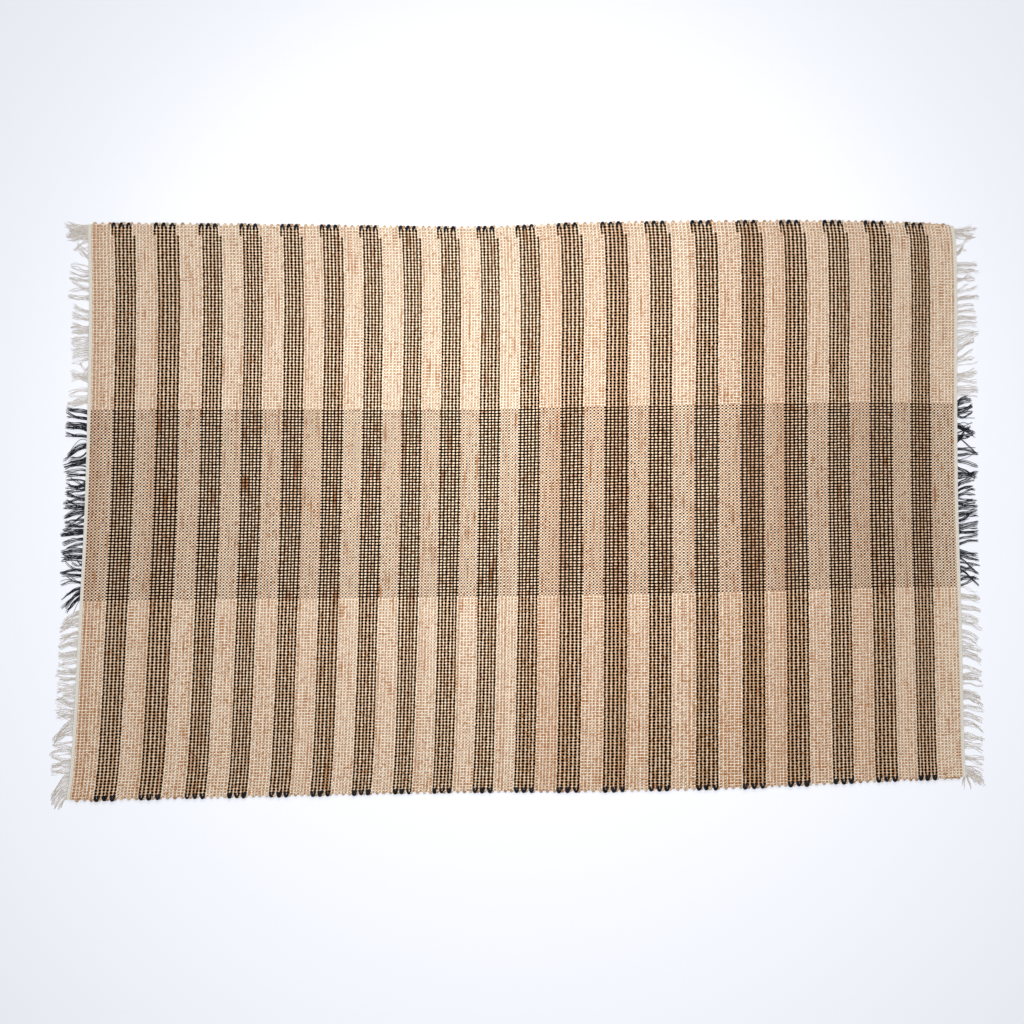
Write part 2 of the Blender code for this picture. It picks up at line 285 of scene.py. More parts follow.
def weaveMaterial():
    material, tree, shader = newMaterial("jute_plain_weave_matt", 0.95, 0.05)
    calc = mathIn(tree)
    laid = addNode(tree, "ShaderNodeUVMap", uv_map="threads")
    stray = addNode(tree, "ShaderNodeTexNoise", {"Vector": laid, "Scale": 0.45, "Detail": 1.0},
                    give=1)
    stray = addNode(tree, "ShaderNodeVectorMath", {0: stray, 1: (0.5, 0.5, 0.5)},
                    operation="SUBTRACT")
    reach = (weave["wobble"], weave["wobble"], 0)
    uv = addNode(tree, "ShaderNodeVectorMath", {0: stray, 1: reach, 2: laid},
                 operation="MULTIPLY_ADD")
    split = addNode(tree, "ShaderNodeSeparateXYZ", {0: uv}, give=None)
    u, v = split.outputs[0], split.outputs[1]
    under = calc("ROUND", addNode(tree, "ShaderNodeAttribute", give="Fac",
                                  attribute_name="underside"))

    pick, end = calc("ROUND", u), calc("ROUND", v)
    offPick, offEnd = calc("SUBTRACT", u, pick), calc("SUBTRACT", v, end)
    underEnd = calc("ADD", end, under)
    # 1 where the weft is over and -1 where the warp is; -1 on a slack end and 1 on a tight one
    over = calc("COSINE", calc("MULTIPLY", calc("ADD", pick, underEnd), math.pi))
    slackness = calc("COSINE", calc("MULTIPLY", underEnd, math.pi))
    cellSeed = addNode(tree, "ShaderNodeCombineXYZ", {0: pick, 1: end, 2: under})
    cell = addNode(tree, "ShaderNodeTexWhiteNoise", {"Vector": cellSeed}, give="Value",
                   noise_dimensions="3D")

    near, middle = loom["endsInZone"][:2]
    blackEnd = calc("MULTIPLY", calc("GREATER_THAN", end, near - 0.5),
                    calc("LESS_THAN", end, near + middle - 0.5))

    # where the stripes are: every second pick is black, six in each
    folded = calc("GREATER_THAN", v, ends - weave["tail"])
    opening, stripe = loom["firstBlack"] - 0.5, 2.0 * loom["blackPicks"] - 1
    lastBlack = loom["firstBlack"] + (loom["stripes"] - 1) * loom["stripeEvery"] + stripe

    def stripePlace(thread):
        # whether a pick is in a stripe, and how far into the repeat it is
        place = calc("SUBTRACT", calc("MULTIPLY_ADD", folded, 2.0, thread), opening)
        repeat = calc("FLOORED_MODULO", place, float(loom["stripeEvery"]))
        inside = calc("MULTIPLY", calc("LESS_THAN", repeat, stripe),
                      calc("GREATER_THAN", place, 0.0))
        return calc("MULTIPLY", inside, calc("LESS_THAN", place, lastBlack - opening)), repeat

    def isBlack(thread):
        inside, repeat = stripePlace(thread)
        every = calc("LESS_THAN", calc("FLOORED_MODULO", repeat, 2.0), 1.0)
        return calc("MULTIPLY", inside, every)

    striped = stripePlace(pick)[0]

    def byStripe(values):
        # the first value between stripes, the second in one
        return spread(tree, striped, 0.0, 1.0, *values)

    # heights of this pick, of the neighbouring pick and of the warp end
    cosV = calc("COSINE", calc("MULTIPLY", offEnd, math.pi))
    cosU = calc("COSINE", calc("MULTIPLY", offPick, math.pi))
    swayWeft, swayWarp = calc("MULTIPLY", over, cosV), calc("MULTIPLY", over, cosU)
    curve = spread(tree, slackness, -1.0, 1.0, weave["curve"],
                   byStripe((weave["tightCurve"], weave["curve"])))

    def pickHeight(off, black, sway):
        squared = calc("MULTIPLY", off, off)
        plump = calc("MULTIPLY_ADD", squared, weave["blackCurve"], weave["blackLift"])
        rounded = calc("MULTIPLY_ADD", squared, curve, weave["pickHigh"])
        return calc("MULTIPLY_ADD", swayWeft, sway, calc("MULTIPLY_ADD", black, plump, rounded))

    leaning = calc("SUBTRACT", offPick, calc("MULTIPLY", offEnd, weave["slant"]))
    side = calc("SIGN", offPick)
    weftHigh = pickHeight(leaning, isBlack(pick), weave["sway"])
    nextHigh = pickHeight(calc("SUBTRACT", leaning, side), isBlack(calc("ADD", pick, side)),
                          -weave["sway"])
    slack = spread(tree, slackness, -1.0, 1.0, byStripe(weave["looseEnd"]),
                   byStripe(weave["tightEnd"]))
    slack = calc("MULTIPLY_ADD", calc("SUBTRACT", cell, 0.5), weave["endUneven"], slack)
    slack = calc("MULTIPLY_ADD", blackEnd, byStripe(weave["bandDot"]), slack)
    warpRound = calc("MULTIPLY_ADD", calc("MULTIPLY", offEnd, offEnd), weave["endCurve"], slack)
    warpHigh = calc("MULTIPLY_ADD", swayWarp, -weave["sway"], warpRound)

    nextShows = calc("GREATER_THAN", nextHigh, weftHigh)
    owner = calc("MULTIPLY_ADD", nextShows, side, pick)
    topWeft = calc("MAXIMUM", weftHigh, nextHigh)
    weftShows = spread(tree, calc("SUBTRACT", topWeft, warpHigh), -0.05, 0.05, 0.0, 1.0,
                       interpolation_type="SMOOTHSTEP")
    high = calc("MAXIMUM", topWeft, warpHigh)

    # fibres: streaks along each yarn, a little dark bark left in the jute
    streakSeed = addNode(tree, "ShaderNodeVectorMath", {0: uv, 1: (9.0, 1.6, 1.0)},
                         operation="MULTIPLY")
    streak = addNode(tree, "ShaderNodeTexNoise", {"Vector": streakSeed, "Scale": 1.0, "Detail": 3.0,
                                                  "Roughness": 0.65}, give=0)
    jute = blend(tree, patches(tree, streak, weave["barkStreak"]),
                 juteColour(tree, owner, end, v, high, blackEnd), linear(weave["bark"]))

    weft = blend(tree, isBlack(owner), jute, linear(weave["black"]))
    warp = blend(tree, blackEnd, linear(weave["cream"]), linear(weave["warpBlack"]))
    thread = blend(tree, weftShows, warp, weft)
    shade = spread(tree, streak, 0.3, 0.7, 0.88, 1.06)
    thread = addNode(tree, "ShaderNodeVectorMath", {0: thread, "Scale": shade}, operation="SCALE")
    # painted shade: where the threads lie low, the colour is darkened towards the warm hollow shade
    hollow = spread(tree, high, 1.35, 0.50, 0.0, 1.0)
    dark = addNode(tree, "ShaderNodeVectorMath", {0: thread, 1: linear(weave["hollow"])[:3]},
                   operation="MULTIPLY")
    relief = calc("MULTIPLY_ADD", streak, 0.35, high)
    surface(tree, shader, blend(tree, hollow, thread, dark), relief, weave["yarnRelief"])
    return material


field = {
    "blocks": 10,             # the cloth is drawn in blocks, each a closed sheet
    "thick": 5.2 * mm,
    "sway": 0.62 * mm,        # how far a yarn rises over the ones it crosses
    "slub": 0.16 * mm,        # unevenness of the hand-spun yarn
    "strips": 3,              # each face of a block is laid out in this many strips
}
bakeMap = {"topShare": 0.66, "margin": 0.006}   # the upper face's part of the map's width
# the weft's height, in steps of its sway: over an end, under one, along the rim
crossing = {"over": 1.0, "under": -0.8, "rim": -0.2}
lowerFace = {"seat": 0.8, "rise": 0.9}          # it lies this high there, and rises less
slubs = {"pickSeed": 5, "beadSeed": 6, "share": 0.7, "limit": 0.3 * mm}


def layBakeMap(mesh, i, j, top, columns, rows, strips):
    # the upper face's strips lie at the left of the map, the lower face's at the right
    count = len(mesh.polygons)
    i, j, top = i.reshape(count, 4), j.reshape(count, 4), top.reshape(count, 4)
    faceTop = top.any(1)
    wall = faceTop & ~top.all(1)
    margin = bakeMap["margin"]
    bounds = np.rint(np.arange(strips + 1) * rows / strips)
    strip = np.clip(np.searchsorted(bounds, j.mean(1), side="right") - 1, 0, strips - 1)
    low, high = bounds[strip][:, None], bounds[strip + 1][:, None]
    left = np.where(faceTop, 0.0, bakeMap["topShare"])[:, None]
    wide = np.where(faceTop, bakeMap["topShare"], 1 - bakeMap["topShare"])[:, None]
    # the walls fold out by a little of the margin
    out = np.where(wall[:, None] & ~top, margin * 0.4, 0.0)
    outX = out * (np.where(j == rows, 1.0, 0.0) - np.where(j == 0, 1.0, 0.0))
    outY = out * (np.where(i == columns, 1.0, 0.0) - np.where(i == 0, 1.0, 0.0)) / strips
    mapX = left + margin + (wide - 2 * margin) * (j - low) / (high - low) + outX
    mapY = (strip[:, None] + margin + (1 - 2 * margin) * i / columns) / strips + outY
    bake = mesh.uv_layers.new(name="OFBake")
    bake.uv.foreach_set("vector", np.column_stack((mapX.ravel(), mapY.ravel())).ravel())


def wovenSheet(name, uLines, vLines, settings, place, material):
    # a closed sheet with a vertex at every crossing of two yarns
    columns, rows = len(uLines) - 1, len(vLines) - 1
    sheet = bmesh.new()
    bmesh.ops.create_grid(sheet, x_segments=columns, y_segments=rows, size=0.5)
    grown = bmesh.ops.extrude_face_region(sheet, geom=sheet.faces[:], use_keep_orig=True)
    raised = [g for g in grown["geom"] if isinstance(g, bmesh.types.BMVert)]
    bmesh.ops.translate(sheet, verts=raised, vec=(0, 0, 1))
    bmesh.ops.recalc_face_normals(sheet, faces=sheet.faces[:])
    mesh = bpy.data.meshes.new(name)
    sheet.to_mesh(mesh)
    sheet.free()

    spots = np.empty(len(mesh.vertices) * 3)
    mesh.vertices.foreach_get("co", spots)
    spots = spots.reshape(-1, 3)
    i = np.rint((spots[:, 0] + 0.5) * columns).astype(int)
    j = np.rint((spots[:, 1] + 0.5) * rows).astype(int)
    top = spots[:, 2] > 0.5
    u, v = uLines[i], vLines[j]
    over = np.where((np.floor(u + 0.5) + np.floor(v + 0.5)) % 2 == 0,
                    crossing["over"], crossing["under"])
    onEdge = (v < 0) | (v > ends - 1) | (u < settings["first"]) | (u > settings["last"])
    over = np.where(onEdge, crossing["rim"], over)
    pickSize = np.random.default_rng(slubs["pickSeed"]).normal(0, 1, 600)
    beadSize = np.random.default_rng(slubs["beadSeed"]).normal(0, 1, (600, ends + 2))
    pu, pv = np.rint(u + 2.5).astype(int), np.rint(v + 0.5).astype(int)
    uneven = settings["slub"] * slubs["share"] * (pickSize[pu] + beadSize[pu, pv])
    z = over * settings["sway"] + np.clip(uneven, -slubs["limit"], slubs["limit"])
    height = np.where(top, z + settings["thick"] - settings["sway"],
                      np.maximum(z * lowerFace["rise"] + settings["sway"] * lowerFace["seat"], 0.0))
    x, y = place(u, v)
    mesh.vertices.foreach_set("co", np.column_stack((x, y, height)).ravel())

    under = mesh.attributes.new("underside", "FLOAT", "POINT")
    under.data.foreach_set("value", np.where(top, 0.0, 1.0))
    corner = np.empty(len(mesh.loops), int)
    mesh.loops.foreach_get("vertex_index", corner)
    threads = mesh.uv_layers.new(name="threads")
    threads.uv.foreach_set("vector", np.column_stack((u[corner], v[corner])).ravel())

    layBakeMap(mesh, i[corner], j[corner], top[corner], columns, rows, settings["strips"])
    mesh.shade_smooth()
    mesh.set_sharp_from_angle(angle=math.radians(75))
    mesh.materials.append(material)
    piece = bpy.data.objects.new(name, mesh)
    bpy.context.scene.collection.objects.link(piece)
    return piece


def makeField(material):
    picks = loom["picks"]
    settings = field | {"first": 0, "last": picks - 1}
    pieces = []
    for number in range(field["blocks"]):
        first = round(number * picks / field["blocks"])
        last = round((number + 1) * picks / field["blocks"])
        uLines = np.arange(first, last + 1.0)
        if number == 0:
            uLines = np.insert(uLines, 0, -0.5)
        if number == field["blocks"] - 1:
            uLines[-1] = picks - 0.5
        vLines = np.array([-0.5, *range(ends), ends - 0.5])
        name = f"field_cloth_{number + 1:02d}"
        piece = wovenSheet(name, uLines, vLines, settings, clothPoint, material)
        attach(piece, "root")
        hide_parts("field")
        long = clothPoint(uLines[-1], ends / 2)[0] - clothPoint(uLines[0], ends / 2)[0]
        middle = uLines.mean()
        wide = clothPoint(middle, ends - 0.5)[1] - clothPoint(middle, -0.5)[1]
        pieces.append((piece, (float(wide), float(long))))
    return pieces


# The heading: fine cotton picks beaten in at each end, matt cream with close ribs.
headingCloth = {
    "picks": 6, "sway": 0.25 * mm, "slub": 0.1 * mm, "strips": 12,
    "low": "#C8BEAE", "high": "#FAF5EA", "relief": 0.25,   # its hollows with painted shade, its ribs with painted highlight, mm of bump
}


def headingPoint(side):
    # a place on the heading, u picks out from the field
    def place(u, v):
        edgePick = -0.5 if side < 0 else loom["picks"] - 0.5
        x, y = clothPoint(np.full(np.shape(u), edgePick), v)
        step = heading["width"] / headingCloth["picks"]
        return x + side * (gap + step * np.asarray(u, float)), y
    return place


def makeHeading(name, side, material):
    settings = heading | headingCloth | {"first": 0.5, "last": headingCloth["picks"] - 0.5}
    uLines = np.arange(headingCloth["picks"] + 1.0)
    if side < 0:
        uLines = uLines[::-1]
    vLines = np.array([-0.5, *range(ends), ends - 0.5])
    piece = wovenSheet(f"{name}_cotton", uLines, vLines, settings, headingPoint(side), material)
    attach(piece, "root")
    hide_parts(name)
    return piece


def yarns(name, paths, radii, sides, tones, materials, kinds=None):
    # a tube is modelled once, copied for each yarn and laid along its path
    count, rings = paths.shape[:2]
    tube = bmesh.new()
    bmesh.ops.create_cone(tube, cap_ends=True, segments=sides, radius1=1, radius2=1, depth=1)
    long = [e for e in tube.edges if abs(e.verts[0].co.z - e.verts[1].co.z) > 0.5]
    bmesh.ops.subdivide_edges(tube, edges=long, cuts=rings - 2, use_grid_fill=True)
    pattern = bpy.data.meshes.new("tube")
    tube.to_mesh(pattern)
    tube.clear()
    for _ in range(count):
        tube.from_mesh(pattern)
    mesh = bpy.data.meshes.new(name)
    tube.to_mesh(mesh)
    tube.free()

    spots = np.array([vertex.co[:] for vertex in pattern.vertices])
    ring = np.rint((spots[:, 2] + 0.5) * (rings - 1)).astype(int)
    angle = np.arctan2(spots[:, 1], spots[:, 0])
    ahead = np.gradient(paths, axis=1)
    ahead /= np.linalg.norm(ahead, axis=2, keepdims=True)
    aside = np.cross((0.0, 0.0, 1.0), ahead)
    aside /= np.linalg.norm(aside, axis=2, keepdims=True)
    above = np.cross(ahead, aside)
    cos, sin = np.cos(angle)[None, :, None], np.sin(angle)[None, :, None]
    co = paths[:, ring] + radii[:, ring, None] * (cos * aside[:, ring] + sin * above[:, ring])
    mesh.vertices.foreach_set("co", co.ravel())

    stepLength = np.linalg.norm(np.diff(paths, axis=1), axis=2)
    length = np.concatenate((np.zeros((count, 1)), np.cumsum(stepLength, axis=1)), axis=1) / mm
    corner = np.array([loop.vertex_index for loop in pattern.loops])
    turn = (angle[corner] / (2 * math.pi)) % 1.0
    for face in pattern.polygons:
        corners = slice(face.loop_start, face.loop_start + face.loop_total)
        if np.ptp(turn[corners]) > 0.5 and face.loop_total == 4:
            turn[corners] = np.where(turn[corners] < 0.5, turn[corners] + 1, turn[corners])
    along = mesh.uv_layers.new(name="yarn")
    uv = np.stack((length[:, ring[corner]], np.tile(turn, (count, 1))), axis=2)
    along.uv.foreach_set("vector", uv.ravel())
    tone = mesh.attributes.new("tone", "FLOAT", "POINT")
    tone.data.foreach_set("value", np.repeat(tones, len(spots)))
    if kinds is not None:
        mesh.polygons.foreach_set("material_index", np.repeat(kinds, len(pattern.polygons)))
    mesh.shade_smooth()
    for material in materials:
        mesh.materials.append(material)
    bpy.data.meshes.remove(pattern)
    piece = bpy.data.objects.new(name, mesh)
    bpy.context.scene.collection.objects.link(piece)
    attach(piece, "root")
    return piece


# Where the two shuttles turn: small loops of weft along both long edges.
selvage = {
    "partsPerEdge": 2, "steps": 9, "sides": 6, "seed": 21,
    "onBlocks": (2, 7, 2, 7),              # the block that each part goes with
    "every": 4,                            # picks from one natural turn to the next
    "firstFar": 1.6, "firstNear": 3.4,     # the pick in the middle of the first turn
    # half: picks from a turn's middle to its side; out, in: how far it stands out and reaches in
    "natural": {"half": 0.60, "out": 2.7 * mm, "in": 4.0 * mm, "thick": 4.6 * mm,
                "high": 2.6 * mm, "slant": 0.0},
    "blackFar": {"half": 0.66, "out": 1.6 * mm, "in": 6.0 * mm, "thick": 6.4 * mm,
                 "high": 3.3 * mm, "slant": 0.0},
    "blackNear": {"half": 0.72, "out": 2.8 * mm, "in": 6.8 * mm, "thick": 6.8 * mm,
                  "high": 3.6 * mm, "slant": 2.4 * mm},
    "blunt": 0.55,                         # below 1, a turn is blunter than half a wave
    "tilt": 0.5 * mm,                      # how far its first side lies above its middle
    "blackPairsFar": (-2, 2, 6),           # picks from a stripe's first, where turns begin
    "blackPairsNear": (0, 4, 8),
    # how unequal the turns are
    "uneven": {"out": 0.16, "slant": 0.7 * mm, "middle": 0.16, "thick": 0.10},
    # jute left loose at the right corners: (far, first pick, last, mm out, thick, high, shade)
    "loose": ((True, 471, 482, 1.0, 2.4, 4.2, 0.35), (True, 481, 492.8, 0.6, 2.6, 3.6, 0.25),
              (False, 481, 492, 0.6, 3.6, 3.4, 0.0), (False, 482.6, 484.4, -8.0, 6.4, 4.4, 0.0)),
    "looseBow": 0.5 * mm,
}


def edgePoint(far, u):
    return clothPoint(u, np.full(len(u), ends - 0.5 if far else -0.5))


def turnPath(far, middle, kind):
    s = np.linspace(0, 1, selvage["steps"])
    u = middle - kind["half"] * np.cos(math.pi * s)
    x, y = edgePoint(far, np.clip(u, -0.4, loom["picks"] - 0.6))
    out = (kind["in"] + kind["out"]) * np.sin(math.pi * s) ** selvage["blunt"] - kind["in"]
    out += kind["slant"] * (0.5 - s)
    z = kind["high"] + selvage["tilt"] * np.cos(math.pi * s)
    return np.column_stack((x, y + (out if far else -out), z))


def loosePath(far, first, last, out, high):
    u = np.linspace(first, last, selvage["steps"])
    x, y = edgePoint(far, u)
    bow = out * mm + selvage["looseBow"] * np.sin(u * 1.3)
    return np.column_stack((x, y + (bow if far else -bow), np.full(len(u), high * mm)))


def turnsAlong(far):
    # every turn of one edge: (pick in its middle, kind, 1 for the black shuttle's)
    start = selvage["firstFar"] if far else selvage["firstNear"]
    turns = [(middle, selvage["natural"], 0)
             for middle in np.arange(start, loom["picks"] - 1.0, selvage["every"])]
    kind = selvage["blackFar"] if far else selvage["blackNear"]
    for stripe in range(loom["stripes"]):
        opening = loom["firstBlack"] + stripe * loom["stripeEvery"]
        for step in selvage["blackPairsFar"] if far else selvage["blackPairsNear"]:
            turns.append((opening + step + 1.0, kind, 1))
    return turns


def makeSelvages(materials):
    rng = np.random.default_rng(selvage["seed"])
    uneven, swell = selvage["uneven"], np.sin(np.linspace(0, math.pi, selvage["steps"]))
    share = loom["picks"] / selvage["partsPerEdge"]
    pieces = []
    for far in (True, False):
        for part in range(selvage["partsPerEdge"]):
            these = [t for t in turnsAlong(far) if part * share <= t[0] < (part + 1) * share]
            paths, radii = [], []
            for middle, kind, black in these:
                out = kind["out"] * (1 + rng.normal(0, uneven["out"]))
                slant = kind["slant"] + rng.normal(0, uneven["slant"])
                middle += rng.normal(0, uneven["middle"])
                path = turnPath(far, middle, kind | {"out": out, "slant": slant})
                paths.append(path)
                thick = kind["thick"] / 2 * (1 + rng.normal(0, uneven["thick"]))
                radii.append(np.minimum(thick * (0.9 + 0.1 * swell), path[:, 2]))
            shades, kinds = list(rng.random(len(these))), [t[2] for t in these]
            for onFar, first, last, out, thick, high, shade in selvage["loose"] if part else ():
                if onFar == far:
                    paths.append(loosePath(far, first, last, out, high))
                    radii.append(thick / 2 * mm * (0.75 + 0.25 * swell))
                    shades.append(shade)
                    kinds.append(0)
            name = f"selvage_{'far' if far else 'near'}_{part + 1}"
            piece = yarns(name, np.array(paths), np.array(radii), selvage["sides"],
                          np.array(shades), materials, np.array(kinds))
            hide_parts("field")
            pieces.append(piece)
    return pieces


